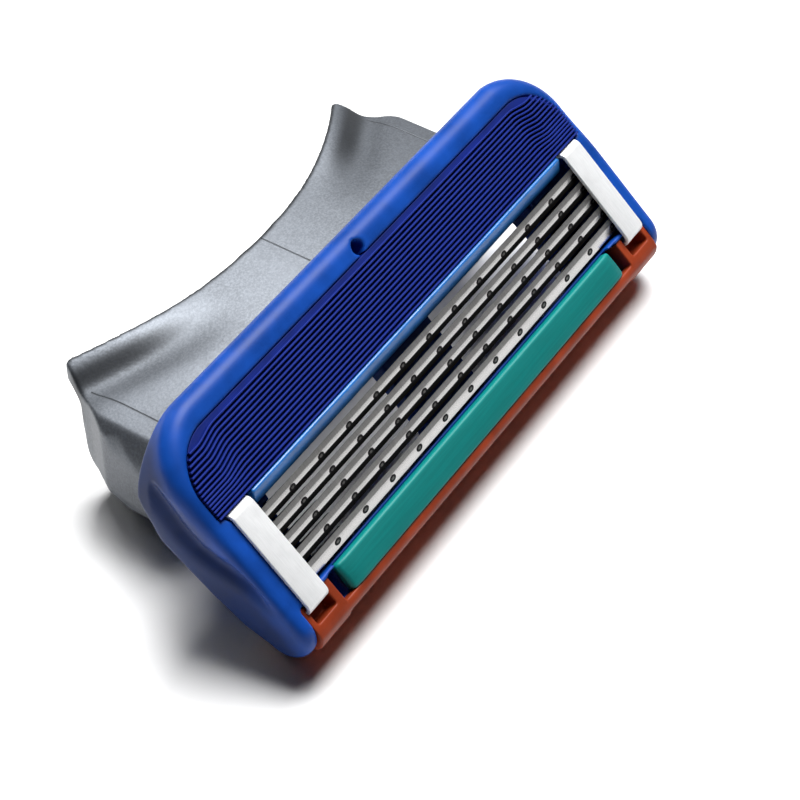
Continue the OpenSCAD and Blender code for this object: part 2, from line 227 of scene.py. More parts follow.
def moulded_plastic(name, colour, rough, grain=0.006, coat=0.0, sheen=0.5, painted_shade_ends=None):
    """Moulded plastic: slight cloudiness, a fine grain and small changes of gloss.
    The last argument is how far from the middle the painted shade low on the end walls starts, and where it
    is full."""
    material, graph = new_material(name)
    place = graph.place(HEAD)
    cloud = graph.noise(place, 0.35, 3)
    fine = graph.noise(place, 9.0, 2, 0.6)
    shade = graph.mix(graph.ramp(cloud, 0.25, 0.75), rgba(colour, 0.75), rgba(colour, 1.35))
    base = graph.mix(graph.ramp(fine, 0.35, 0.65) * 0.25, shade, rgba(colour, 1.15))
    if painted_shade_ends:
        # painted shade: the end walls are darkened low down, towards the ends
        u, _, w = graph.axes(place)
        shade_on_wall = graph.ramp(-w, 0.9, 2.6) * graph.ramp(abs(u), *painted_shade_ends)
        base = graph.mix(shade_on_wall * 0.75, base, rgba(colour, 0.2))
    close_material(graph, Base_Color=base, Roughness=rough - 0.06 + 0.12 * cloud + 0.06 * fine,
                   Specular_IOR_Level=sheen, Normal=graph.bump(fine, 0.35, grain), Coat_Weight=coat,
                   Coat_Roughness=0.2)
    return material


def fin_rubber(name, colour, top_w):
    """Soft rubber: a painted highlight along the tops of the fins, the plain colour between them"""
    material, graph = new_material(name)
    place = graph.place(HEAD)
    depth = graph.axes(place)[2]
    cloud = graph.noise(place, 0.6, 3)
    dust = graph.noise(place, 7.0, 3, 0.7)
    # painted highlight on the tops of the fins
    tops = graph.ramp(depth, top_w - 0.07, top_w)
    deep = graph.mix(graph.ramp(cloud, 0.3, 0.7), rgba(colour, 0.8), rgba(colour, 1.15))
    top_highlight = graph.mix(graph.ramp(dust, 0.3, 0.7), rgba(colour, 1.3), rgba(colour, 1.7))
    base = graph.mix(tops, deep, top_highlight)
    close_material(graph, Base_Color=base, Roughness=0.5 + 0.2 * dust, Normal=graph.bump(dust, 0.3, 0.008),
                   Specular_IOR_Level=0.15)
    return material


def brushed_metal(name, colour, rough, lay=(0.15, 9.0, 9.0), metallic=1.0, scratch=0.004, stain=0.12):
    """Metal with the fine lines of rolling or grinding; lay squeezes the pattern along each axis"""
    material, graph = new_material(name)
    place = graph.place(HEAD)
    lines = graph.noise(graph.stretch(place, lay), 3.0, 4, 0.65)
    cloud = graph.noise(place, 0.8, 3)
    specks = graph.noise(place, 12.0, 2, 0.6)
    marks = graph.ramp(lines, 0.3, 0.7)
    base = graph.mix(marks, rgba(colour, 1 - stain), rgba(colour, 1 + stain))
    base = graph.mix(graph.ramp(cloud, 0.45, 0.75) * 0.3, base, rgba(colour, 0.8))
    close_material(graph, Base_Color=base, Metallic=metallic,
                   Roughness=rough - 0.05 + 0.12 * marks + 0.05 * specks,
                   Normal=graph.bump(lines + 0.3 * specks, 0.35, scratch))
    return material


def waxy_strip(name, colour, edge):
    """Pressed lubricating polymer: faint streaks along it and a painted highlight along its edge by the
    blades
    """
    material, graph = new_material(name)
    place = graph.place(HEAD)
    streaks = graph.noise(graph.stretch(place, (0.12, 3.0, 3.0)), 2.0, 4, 0.6)
    powder = graph.noise(place, 8.0, 3, 0.7)
    across = graph.axes(place)[1]
    base = graph.mix(graph.ramp(streaks, 0.3, 0.75), rgba(colour, 0.9), rgba(colour, 1.08))
    # painted highlight along the edge by the blades
    base = graph.mix(graph.ramp(across, edge - 0.3, edge - 0.08) * 0.6, base, rgba(colour, 1.7))
    close_material(graph, Base_Color=base, Roughness=0.42 + 0.12 * powder,
                   Normal=graph.bump(powder + 0.4 * streaks, 0.25, 0.008), Subsurface_Weight=0.08,
                   Subsurface_Scale=0.0006, Specular_IOR_Level=0.3)
    return material


def satin_yoke(name, colour):
    """Metal-filled satin plastic: flakes, a grain, the mould's parting lines, and painted shade by the lips
    """
    material, graph = new_material(name)
    place = graph.place(YOKE)
    x, y, z = graph.axes(place)
    flakes = graph.noise(place, 6.5, 3, 0.7)
    grain = graph.noise(place, 3.2, 4, 0.65)
    cloud = graph.noise(place, 0.25, 3)
    line = (1 - graph.ramp(abs(x), 0.02, 0.07)) * (y > 12.2) * (z > 5)
    side = (1 - graph.ramp(abs(abs(x) - 15.1), 0.02, 0.07)) * (y > 12.5) * (y < 18.0) * (z > 5)
    past_lip = y - SADDLE_Y - (LIP_Y - SADDLE_Y) * (x / LIP_HALF) ** 2.0
    seam = graph.node("ShaderNodeMath", {"operation": "MAXIMUM"}, {0: line, 1: side})
    base = graph.mix(graph.ramp(cloud, 0.3, 0.7), rgba(colour, 0.9), rgba(colour, 1.1))
    base = graph.mix(graph.ramp(flakes, 0.35, 0.68) * 0.8, base, rgba(colour, 1.5))
    base = graph.mix(seam * 0.75, base, rgba(colour, 0.25))
    # painted shade: a band in front of the lips towards the horns
    shade_band = graph.ramp(past_lip, -3.4, -1.8) * (1 - graph.ramp(past_lip, -1.5, -0.6))
    shade_before_lip = shade_band * graph.ramp(abs(x), 6.0, 12.0)
    # painted shade along the edge of the lips
    base = graph.mix(graph.ramp(past_lip, -0.45, -0.15) * 0.8, base, rgba(colour, 0.2))
    base = graph.mix(shade_before_lip * (z > 6) * 0.8, base, rgba(colour, 0.25))
    close_material(graph, Base_Color=base, Metallic=0.6, Roughness=0.4 + 0.12 * grain,
                   Normal=graph.bump(grain - 2.5 * seam, 0.5, 0.02), Specular_IOR_Level=0.6)
    return material


def pale_table(name, colour):
    """Smooth pale table top with a faint gloss"""
    material, graph = new_material(name)
    coords = graph.node("ShaderNodeTexCoord", output="Object")
    fine = graph.noise(coords, 900.0, 2)
    base = graph.mix(fine, rgba(colour, 0.99), rgba(colour, 1.01))
    close_material(graph, Base_Color=base, Roughness=0.3 + 0.05 * fine, Specular_IOR_Level=0.35)
    return material


# ---------------------------------------------------------------- mesh making

def new_object(name, points, faces):
    mesh = bpy.data.meshes.new(name)
    mesh.from_pydata([tuple(p) for p in points], [], faces)
    obj = bpy.data.objects.new(name, mesh)
    bpy.context.scene.collection.objects.link(obj)
    return obj


def face_outwards(obj):
    work = bmesh.new()
    work.from_mesh(obj.data)
    bmesh.ops.remove_doubles(work, verts=work.verts, dist=1e-5)
    bmesh.ops.recalc_face_normals(work, faces=work.faces)
    work.to_mesh(obj.data)
    work.free()


def loft(name, rings):
    """Closed mesh through rings of equally many points, with a face over each end"""
    rings = np.array(rings, float)
    count, around = rings.shape[:2]
    faces = [(i * around + j, i * around + (j + 1) % around, (i + 1) * around + (j + 1) % around,
              (i + 1) * around + j) for i in range(count - 1) for j in range(around)]
    faces += [tuple(range(around)), tuple(range((count - 1) * around, count * around))]
    obj = new_object(name, rings.reshape(-1, 3), faces)
    face_outwards(obj)
    return obj


def run_along(name, outline, stations):
    """Runs a (v, w) outline along u; each station is (u, how far the outline is drawn in)"""
    outline = np.array(outline, float)
    middle = (outline.min(0) + outline.max(0)) / 2
    half = (outline.max(0) - outline.min(0)) / 2
    rings = []
    for u, drawn_in in stations:
        flat = middle + (outline - middle) * (1 - drawn_in / np.maximum(half, drawn_in + 1e-3))
        rings.append([(u, v, w) for v, w in flat])
    return loft(name, rings)


def rounded_stations(start, end, radius, steps=4, middle=1):
    """Stations of run_along with both ends rounded"""
    ends = [(radius * (1 - math.sin(a)), radius * (1 - math.cos(a)))
            for a in np.linspace(0, math.pi / 2, steps + 1)]
    # each pair is (how far the outline is drawn in, distance from the end)
    low = [(start + along, inset) for inset, along in ends]
    high = [(end - along, inset) for inset, along in reversed(ends)]
    between = [(u, 0.0) for u in np.linspace(start + radius, end - radius, middle + 2)[1:-1]]
    return low + between + high


def settle(obj, **modifiers):
    """Applies modifiers, each given as type=settings, and leaves a plain mesh"""
    for kind, settings in modifiers.items():
        modifier = obj.modifiers.new(kind, kind)
        for name, value in settings.items():
            setattr(modifier, name, value)
    graph = bpy.context.evaluated_depsgraph_get()
    mesh = bpy.data.meshes.new_from_object(obj.evaluated_get(graph))
    obj.modifiers.clear()
    old = obj.data
    obj.data = mesh
    bpy.data.meshes.remove(old)


def soften_edges(obj, width, segments=3, angle=30):
    settle(obj, BEVEL={"width": width, "segments": segments, "limit_method": "ANGLE",
                       "angle_limit": math.radians(angle), "harden_normals": False})


def cad_copy(node, home, name):
    """A copy of a CAD node in millimetres, with its loose triangles joined"""
    obj = bpy.data.objects.new(name, frame["nodes"][node].data.copy())
    bpy.context.scene.collection.objects.link(obj)
    obj.data.materials.clear()
    obj.data.transform(home.inverted())
    work = bmesh.new()
    work.from_mesh(obj.data)
    bmesh.ops.remove_doubles(work, verts=work.verts, dist=1e-4)
    work.to_mesh(obj.data)
    work.free()
    return obj


def join_flat_faces(obj):
    """Turns the triangles of each flat face into one face, ready for softened edges"""
    work = bmesh.new()
    work.from_mesh(obj.data)
    bmesh.ops.dissolve_limit(work, angle_limit=0.01, verts=work.verts, edges=work.edges)
    work.to_mesh(obj.data)
    work.free()


def move_points(obj, points):
    obj.data.vertices.foreach_set("co", points.astype(np.float32).ravel())
    obj.data.update()


def remould(obj, voxel, passes, triangles=None):
    """Rebuilds a solid as an even skin with rounded edges, then thins it"""
    settle(obj, REMESH={"mode": "VOXEL", "voxel_size": voxel, "use_smooth_shade": True})
    settle(obj, SMOOTH={"factor": 0.5, "iterations": passes})
    if triangles and len(obj.data.polygons) * 2 > triangles:
        settle(obj, DECIMATE={"ratio": triangles / (len(obj.data.polygons) * 2)})


def hand_over(obj, home, body, nodes, slot, *materials, sharp=None):
    """Puts a finished piece in its place on the object; without materials it keeps its own"""
    obj.data.transform(home)
    if materials:
        obj.data.materials.clear()
    for material in materials:
        obj.data.materials.append(material)
    obj.data.shade_smooth()
    if sharp:
        obj.data.set_sharp_from_angle(angle=math.radians(sharp))
    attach(obj, body)
    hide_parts(*nodes)


def distance_to_line(points, line):
    """Distance of each 2-D point to a line of straight stretches"""
    corners = np.array(line, float)
    best = np.full(len(points), 1e9)
    for start, step in zip(corners, np.diff(corners, axis=0)):
        share = np.clip(((points - start) @ step) / max(step @ step, 1e-12), 0, 1)
        best = np.minimum(best, np.linalg.norm(points - start - share[:, None] * step, axis=1))
    return best


# ---------------------------------------------------------------- geometry trees

class Tree(Graph):
    """A geometry tree with named inputs, used once on an object and then settled"""

    def __init__(self, name, **inputs):
        super().__init__(bpy.data.node_groups.new(name, "GeometryNodeTree"))
        self.tree.interface.new_socket("Geometry", in_out="OUTPUT", socket_type="NodeSocketGeometry")
        self.values = {key: v if isinstance(v, int) else float(v) for key, v in inputs.items()}
        self.identifiers = {}
        for key, value in self.values.items():
            kind = "NodeSocketInt" if isinstance(value, int) else "NodeSocketFloat"
            made = self.tree.interface.new_socket(key, in_out="INPUT", socket_type=kind)
            self.identifiers[key] = made.identifier
        self.start = self.tree.nodes.new("NodeGroupInput")
        self.last = self.tree.nodes.new("NodeGroupOutput")

    def value(self, name):
        return Link(self, self.start, name)

    def vector(self, x, y, z):
        return self.node("ShaderNodeCombineXYZ", {}, {0: x, 1: y, 2: z})

    def made_object(self, name, geometry, material):
        """Runs the tree on a new object and returns the plain mesh object"""
        real = self.node("GeometryNodeRealizeInstances", {}, {0: geometry})
        done = self.node("GeometryNodeSetMaterial", {}, {"Geometry": real, "Material": material})
        self.tree.links.new(done.socket, self.last.inputs[0])
        obj = new_object(name, [(0, 0, 0)], [])
        modifier = obj.modifiers.new("tree", "NODES")
        modifier.node_group = self.tree
        for key, identifier in self.identifiers.items():
            modifier[identifier] = self.values[key]
        settle(obj)
        return obj


def join(name, *objects):
    """One object of several meshes, which keep their materials"""
    work = bmesh.new()
    materials = []
    for obj in objects:
        shift = len(materials)
        materials += list(obj.data.materials)
        first = len(work.faces)
        work.from_mesh(obj.data)
        work.faces.ensure_lookup_table()
        for face in work.faces[first:]:
            face.material_index += shift
    mesh = bpy.data.meshes.new(name)
    work.to_mesh(mesh)
    work.free()
    for material in materials:
        mesh.materials.append(material)
    for obj in objects:
        bpy.data.objects.remove(obj)
    joined = bpy.data.objects.new(name, mesh)
    bpy.context.scene.collection.objects.link(joined)
    return joined


# ---------------------------------------------------------------- sizes and colours

def size(name, description, default):
    return FloatProperty(name=name, description=description, default=default, min=0)


def colour(name, description, default):
    return FloatVectorProperty(name=name, description=description, default=default, size=3, min=0, max=1,
                               subtype="COLOR")


class CartridgeHeadSizes(bpy.types.PropertyGroup):
    """Shapes of the head's moulded pieces, in millimetres"""
    rim_roll: size("Rim roll", "Radius of the roll round the guard", 1.1)
    end_roll: size("End roll", "Radius of the end walls' edges", 0.65)
    valley_depth: size("Valley depth", "Depth of the valley in each end wall", 0.5)
    valley_width: size("Valley width", "Half width of the valley in each end wall", 0.75)
    fin_jog: size("Fin jog", "How far the fins shift towards the cap near the ends", 0.34)
    fin_jog_start: size("Fin jog start", "Distance from the middle at which the fins shift", 16.2)
    fin_jog_length: size("Fin jog length", "Length over which the fins shift", 2.0)


class CartridgeBladeSizes(bpy.types.PropertyGroup):
    """Sizes of the blades and of their weld spots, in millimetres"""
    weld_count: IntProperty(name="Welds", description="Weld spots on one blade", default=13, min=1)
    weld_pitch: size("Weld pitch", "Distance between weld spots", 2.95)
    weld_length: size("Weld length", "Length of one weld spot along the blade", 0.62)
    weld_width: size("Weld width", "Width of one weld spot", 0.44)
    weld_back: size("Weld distance", "Distance from the edge to the weld spots", 0.6)
    bevel_width: size("Bevel", "Width of the ground bevel", 0.36)
    # the dark rear of blades 1 to 4 is painted shade
    shaded_back: size("Shaded rear", "Distance from the edge to the dark rear of blades 1 to 4", 0.66)


class CartridgeColours(bpy.types.PropertyGroup):
    """Colours of the pieces"""
    housing: colour("Housing", "Moulded frame of the head", (0.004, 0.054, 0.31))
    fins: colour("Fins", "Rubber fins of the guard", (0.002, 0.013, 0.15))
    bar: colour("Bar", "Clear blue bar beside the fins", (0.014, 0.15, 0.48))
    strip: colour("Strip", "Lubricating strip", (0.001, 0.165, 0.155))
    carrier: colour("Carrier", "Trimmer carrier", (0.24, 0.032, 0.008))
    steel: colour("Steel", "Blades", (0.60, 0.59, 0.585))
    clip: colour("Clips", "Aluminium clips", (0.90, 0.91, 0.92))
    yoke: colour("Yoke", "Connector yoke", (0.105, 0.115, 0.13))
    spring: colour("Springs", "Fingers under the blades", (0.004, 0.012, 0.06))
    table: colour("Table", "Table top", (0.93, 0.93, 0.93))


def sizes():
    return bpy.context.scene.cartridge_head


def blade_sizes():
    return bpy.context.scene.cartridge_blades


def colours():
    return bpy.context.scene.cartridge_colours


# ---------------------------------------------------------------- housing

GUARD_CORNER = 4.6
LOBE_R = 1.85
BELLY_V, BELLY_W, BELLY_R = 6.3, -3.4, 2.35
# Back of the wall under the rim, (v, w)
CORNER_BACK = [(10.7, -3.7), (9.6, -4.7)]


def housing_outline(low, high):
    """Side view of the housing from the rolled rim round the belly to the lobe at the cap"""
    rim = sizes().rim_roll
    rim_v, rim_w = high[1] - rim, high[2] - rim
    return (arc(rim_v, rim_w, rim, 90, -25, 16) + CORNER_BACK + arc(BELLY_V, BELLY_W, BELLY_R, -60, -95, 8)
            + [(2.1, low[2] + 0.45), (-0.6, low[2] + 1.0)]
            + arc(low[1] + LOBE_R, high[2] - LOBE_R, LOBE_R, -100, -270, 20))


# Middle of the valley in the end walls: it starts under the rim's corner, dips, and comes out beside the clip
VALLEY = [(12.2, -2.5), (10.2, -2.6), (8.2, -2.85), (6.6, -3.1), (5.2, -3.0), (3.9, -2.45), (2.4, -1.5),
          (1.0, -0.95), (0.3, -0.45)]


def shape_housing_ends(points, low, high):
    """Rolls the rim round its corners and along the ends, and scoops the end walls"""
    wanted = sizes()
    half, guard, top = high[0], high[1], high[2]
    u, v, w = points.T.copy()
    across = np.abs(u)
    from_end = half - across
    corner_u, corner_v = half - GUARD_CORNER, guard - GUARD_CORNER
    in_corner = (across > corner_u) & (v > corner_v)
    to_edge = np.where(in_corner, GUARD_CORNER - np.hypot(across - corner_u, v - corner_v),
                       np.minimum(from_end, guard - v))
    roll = wanted.end_roll + (wanted.rim_roll - wanted.end_roll) * smooth_step((v - 4) / 4)
    inside = np.clip(roll - to_edge, 0, roll)
    lift = np.sqrt(roll ** 2 - inside ** 2)
    w = np.where(inside > 0, np.minimum(w, top - roll + lift), w)
    outline = housing_outline(low, high)
    side = np.column_stack([v, w])
    from_outline = distance_to_line(side, outline + outline[:1])
    edge = np.clip(wanted.end_roll - from_outline, 0, wanted.end_roll)
    limit = half - wanted.end_roll + np.sqrt(wanted.end_roll ** 2 - edge ** 2)
    below_top = smooth_step((top - 0.3 - w) / 0.9)
    from_valley = distance_to_line(side, VALLEY) / wanted.valley_width
    limit -= wanted.valley_depth * below_top * np.exp(-from_valley ** 2)
    near = across > half - 1.6
    across = np.where(near, np.minimum(across, limit), across)
    return np.column_stack([np.sign(u) * across, v, w])


class CARTRIDGE_OT_housing(bpy.types.Operator):
    """Moulded frame of the head, with its rolled rim, scooped ends and lobes"""
    bl_idname = "cartridge.housing"
    bl_label = "Housing"

    def execute(self, context):
        low, high = box_in(HEAD, "housing_frame")
        shell = cad_copy("housing_frame", HEAD, "housing_shell")
        remould(shell, 0.12, 0)
        move_points(shell, shape_housing_ends(vertices(shell.data), low, high))
        remould(shell, 0.1, 5, 190000)
        # the housing's end walls get painted shade low down
        blue = moulded_plastic("housing_plastic", colours().housing, 0.4, grain=0.005, sheen=0.2,
                               painted_shade_ends=(17.5, 20.0))
        hand_over(shell, HEAD, "blade_unit", ["housing_frame"], "housing_blue", blue)
        return {"FINISHED"}


# ---------------------------------------------------------------- guard

FIN_COUNT = 16
FIN_PITCH = 0.285
FIN_T = 0.14
SEAT_CORNER = 3.3


def fin_tree(low, high, base_top):
    """Fins side by side, each following the seat's rounded corners and shifting near its ends"""
    wanted = sizes()
    tree = Tree("fins", count=FIN_COUNT, pitch=FIN_PITCH, thickness=FIN_T, height=high[2] - base_top + 0.1,
                top=high[2], first=low[1] + 0.05, half=high[0], corner=SEAT_CORNER, edge=high[1],
                jog=wanted.fin_jog, jog_start=wanted.fin_jog_start, jog_length=wanted.fin_jog_length)
    line = tree.node("GeometryNodeCurvePrimitiveLine", {}, {"Start": (-1, 0, 0), "End": (1, 0, 0)})
    fine = tree.node("GeometryNodeResampleCurve", {}, {"Curve": line, "Count": 160})
    copies = tree.node("GeometryNodeDuplicateElements", {"domain": "SPLINE"},
                       {0: fine, 2: tree.value("count")})
    number = Link(tree, copies.made, 1)
    place = tree.node("GeometryNodeInputPosition")
    share = tree.axes(place)[0]
    across = tree.value("first") + tree.value("thickness") / 2 + number * tree.value("pitch")
    room = tree.ramp(across, tree.value("first"), tree.value("first") + 2.4)

    def shift_at(u):
        share_of_jog = tree.ramp((u - tree.value("jog_start")) / tree.value("jog_length"), 0.0, 1.0)
        return share_of_jog * tree.value("jog") * room

    def reach_at(v):
        over = (v - (tree.value("edge") - tree.value("corner"))).at_least(0.0)
        return (tree.value("half") - tree.value("corner")
                + (tree.value("corner") ** 2.0 - over ** 2.0).at_least(0.0) ** 0.5)

    u = share * reach_at(across - shift_at(reach_at(across)))
    moved = tree.node("GeometryNodeSetPosition", {}, {0: copies, "Position": tree.vector(
        u, across - shift_at(abs(u)), tree.value("top") - tree.value("height") / 2)})
    section = tree.node("GeometryNodeCurvePrimitiveQuadrilateral", {"mode": "RECTANGLE"},
                        {"Width": tree.value("thickness"), "Height": tree.value("height")})
    rounded = tree.node("GeometryNodeFilletCurve", {"mode": "POLY"}, {
        "Curve": section, "Count": 3, "Radius": tree.value("thickness") * 0.48})
    solid = tree.node("GeometryNodeCurveToMesh", {},
                      {"Curve": moved, "Profile Curve": rounded, "Fill Caps": True})
    return tree, solid


class CARTRIDGE_OT_fins(bpy.types.Operator):
    """Rubber guard: a base plate with rows of fins"""
    bl_idname = "cartridge.fins"
    bl_label = "Fin guard"

    def execute(self, context):
        low, high = box_in(HEAD, "fin_guard")
        base_top = high[2] - 0.3
        corner = SEAT_CORNER
        rubber = fin_rubber("fin_rubber", colours().fins, high[2])
        tree, solid = fin_tree(low, high, base_top)
        fins = tree.made_object("fin_rows", solid, rubber)
        outline = (arc(high[0] - corner, high[1] - corner, corner, 0, 90, 14)
                   + arc(corner - high[0], high[1] - corner, corner, 90, 180, 14)
                   + [(low[0], low[1]), (high[0], low[1])])
        rings = [[(u, v, w) for u, v in outline] for w in (low[2], base_top)]
        base = loft("fin_base", rings)
        soften_edges(base, 0.05)
        base.data.materials.append(rubber)
        guard = join("fin_guard_rubber", base, fins)
        face_outwards(guard)
        hand_over(guard, HEAD, "blade_unit", ["fin_guard"], "fin_rubber", rubber, sharp=50)
        return {"FINISHED"}


class CARTRIDGE_OT_bar(bpy.types.Operator):
    """Clear blue bar between the fins and the first blade"""
    bl_idname = "cartridge.bar"
    bl_label = "Guard bar"

    def execute(self, context):
        low, high = box_in(HEAD, "guard_bar")
        lip, foot = 0.16, 0.2
        outline = ([(low[1], low[2]), (high[1], low[2])] + arc(high[1] - lip, high[2] - lip, lip, 0, 125, 8)
                   + arc(low[1] + foot, high[2] - 0.75, foot, 125, 180, 5))
        bar = run_along("clear_guard_bar", outline, rounded_stations(low[0], high[0], 0.15, middle=80))
        points = vertices(bar.data)
        nick = np.exp(-((points[:, 0] + 0.7) / 0.45) ** 4) * (points[:, 2] > high[2] - 0.3)
        points[:, 2] -= 0.07 * nick
        move_points(bar, points)
        blue = moulded_plastic("bar_plastic", colours().bar, 0.3, grain=0.003, coat=0.25)
        hand_over(bar, HEAD, "blade_unit", ["guard_bar"], "bar_blue", blue, sharp=40)
        return {"FINISHED"}


# ---------------------------------------------------------------- strip, carrier and trimmer

class CARTRIDGE_OT_strip(bpy.types.Operator):
    """Lubricating strip, crowned, with slanted ends"""
    bl_idname = "cartridge.strip"
    bl_label = "Lubricating strip"

    def execute(self, context):
        low, high = box_in(HEAD, "lubricating_strip")
        edge = 0.2
        crown = [(v, high[2] - 0.05 * abs(share) ** 2) for share, v in
                 zip(np.linspace(1, -1, 9), np.linspace(high[1] - edge, low[1] + edge, 9))]
        outline = ([(low[1], low[2]), (high[1], low[2])]
                   + arc(high[1] - edge, high[2] - 0.05 - edge, edge, 0, 90, 6)[:-1] + crown
                   + arc(low[1] + edge, high[2] - 0.05 - edge, edge, 90, 180, 6)[1:])
        strip = run_along("lubricating_strip_bar", outline, rounded_stations(low[0], high[0], 0.3, 6, 60))
        points = vertices(strip.data)
        top = smooth_step((points[:, 2] - high[2] + 0.5) / 0.4)
        slant = np.clip(np.abs(points[:, 0]) - (high[0] - 0.7), 0, None)
        points[:, 2] -= top * slant * 0.25
        move_points(strip, points)
        teal = waxy_strip("strip_polymer", colours().strip, high[1])
        hand_over(strip, HEAD, "blade_unit", ["lubricating_strip"], "strip_teal", teal, sharp=50)
        return {"FINISHED"}


class CARTRIDGE_OT_carrier(bpy.types.Operator):
    """Carrier of the trimmer, with the loops round the clips and the comb on the back"""
    bl_idname = "cartridge.carrier"
    bl_label = "Trimmer carrier"

    def execute(self, context):
        carrier = cad_copy("trimmer_carrier", HEAD, "trimmer_carrier_shell")
        remould(carrier, 0.075, 3, 150000)
        orange = moulded_plastic("carrier_plastic", colours().carrier, 0.45, grain=0.008, sheen=0.25)
        hand_over(carrier, HEAD, "blade_unit", ["trimmer_carrier"], "carrier_orange", orange)
        return {"FINISHED"}


class CARTRIDGE_OT_trimmer(bpy.types.Operator):
    """Trimmer blade in the back of the carrier"""
    bl_idname = "cartridge.trimmer"
    bl_label = "Trimmer blade"

    def execute(self, context):
        blade = cad_copy("trimmer_blade", HEAD, "trimmer_blade_strip")
        join_flat_faces(blade)
        soften_edges(blade, 0.012, 2, 40)
        steel = brushed_metal("trimmer_steel", colours().steel, 0.26)
        hand_over(blade, HEAD, "blade_unit", ["trimmer_blade"], "blade_steel", steel, sharp=25)
        return {"FINISHED"}


# ---------------------------------------------------------------- bent metal

def rounded_path(corners, radii, steps=6):
    """A line of straight stretches in (v, w) with its inner corners rounded"""
    corners = [Vector(c) for c in corners]
    path = [corners[0]]
    for before, corner, after, radius in zip(corners, corners[1:], corners[2:], radii):
        back, ahead = (before - corner).normalized(), (after - corner).normalized()
        half = math.acos(max(-1, min(1, back.dot(ahead)))) / 2
        centre = corner + (back + ahead).normalized() * radius / math.sin(half)
        start = corner + back * radius / math.tan(half) - centre
        end = corner + ahead * radius / math.tan(half) - centre
        turn = start.angle_signed(end)
        for share in np.linspace(0, 1, steps + 1):
            path.append(centre + Matrix.Rotation(-turn * share, 2) @ start)
    return path + [corners[-1]]


def ribbon(path, thickness):
    """Closed outline of a strip of even thickness along a path"""
    sides = ([], [])
    for i, point in enumerate(path):
        ahead = path[min(i + 1, len(path) - 1)] - point
        behind = point - path[max(i - 1, 0)]
        along = (ahead.normalized() + behind.normalized()).normalized()
        normal = Vector((-along.y, along.x)) * thickness / 2
        sides[0].append(tuple(point + normal))
        sides[1].append(tuple(point - normal))
    return sides[0] + sides[1][::-1]


CLIP_T = 0.28
CLIP_HOOK = 0.7
CAP_HOOK_RAISED = 0.31


class CARTRIDGE_OT_clips(bpy.types.Operator):
    """Two aluminium clips that hold the blades down"""
    bl_idname = "cartridge.clips"
    bl_label = "Clips"

    def execute(self, context):
        metal = brushed_metal("clip_aluminium", colours().clip, 0.42, lay=(6.0, 0.25, 6.0), metallic=0.3,
                              scratch=0.003, stain=0.05)
        half = CLIP_T / 2
        for node in ("clip_left", "clip_right"):
            low, high = box_in(HEAD, node)
            cap_v, guard_v = low[1] + half, high[1] - CLIP_HOOK - half
            cap_hook_w, guard_hook_w = low[2] + half + CAP_HOOK_RAISED, low[2] + half
            path = rounded_path([
                (cap_v + CLIP_HOOK, cap_hook_w), (cap_v, cap_hook_w), (cap_v, -half),
                (guard_v, -half), (guard_v, guard_hook_w), (guard_v + CLIP_HOOK, guard_hook_w)
            ], [0.2, 0.42, 0.42, 0.2])
            outline = ribbon(path, CLIP_T)
            clip = loft(node + "_strap", [[(u, v, w) for v, w in outline] for u in (low[0], high[0])])
            soften_edges(clip, 0.06, 3, 50)
            hand_over(clip, HEAD, "blade_unit", [node], "clip_aluminium", metal, sharp=35)
        return {"FINISHED"}


# ---------------------------------------------------------------- blades

BLADE_ANGLE = math.radians(21.5)
BLADE_T = 0.1
BLADE_WIDTH = 1.0
SUPPORT_T = 0.12
SUPPORT_BEND = 0.12


def blade_place(k):
    """The frame of blade k: x along it, y towards its edge, z out of its upper face"""
    low, high = box_in(HEAD, f"blade_{k}")
    half = BLADE_T / 2
    edge = Vector((0, high[1] - half * math.sin(BLADE_ANGLE), high[2] + half * math.cos(BLADE_ANGLE)))
    return Matrix.Translation(edge) @ Matrix.Rotation(BLADE_ANGLE, 4, "X"), low[0], high[0]


def weld_tree(name, length, width, height):
    """Oval spots in a row along a blade"""
    wanted = blade_sizes()
    tree = Tree(name, count=wanted.weld_count, pitch=wanted.weld_pitch, back=wanted.weld_back,
                length=length, width=width, height=height)
    row = tree.node("GeometryNodeMeshLine", {"mode": "OFFSET"}, {
        "Count": tree.value("count"),
        "Start Location": tree.vector(-(tree.value("count") - 1.0) * tree.value("pitch") / 2.0,
                                      -tree.value("back"), 0.0),
        "Offset": tree.vector(tree.value("pitch"), 0.0, 0.0)})
    spot = tree.node("GeometryNodeMeshUVSphere", {}, {"Segments": 20, "Rings": 8, "Radius": 1.0})
    sized = tree.node("GeometryNodeTransform", {}, {"Geometry": spot, "Scale": tree.vector(
        tree.value("length") / 2.0, tree.value("width") / 2.0, tree.value("height"))})
    placed = tree.node("GeometryNodeInstanceOnPoints", {}, {"Points": row, "Instance": sized})
    return tree, placed


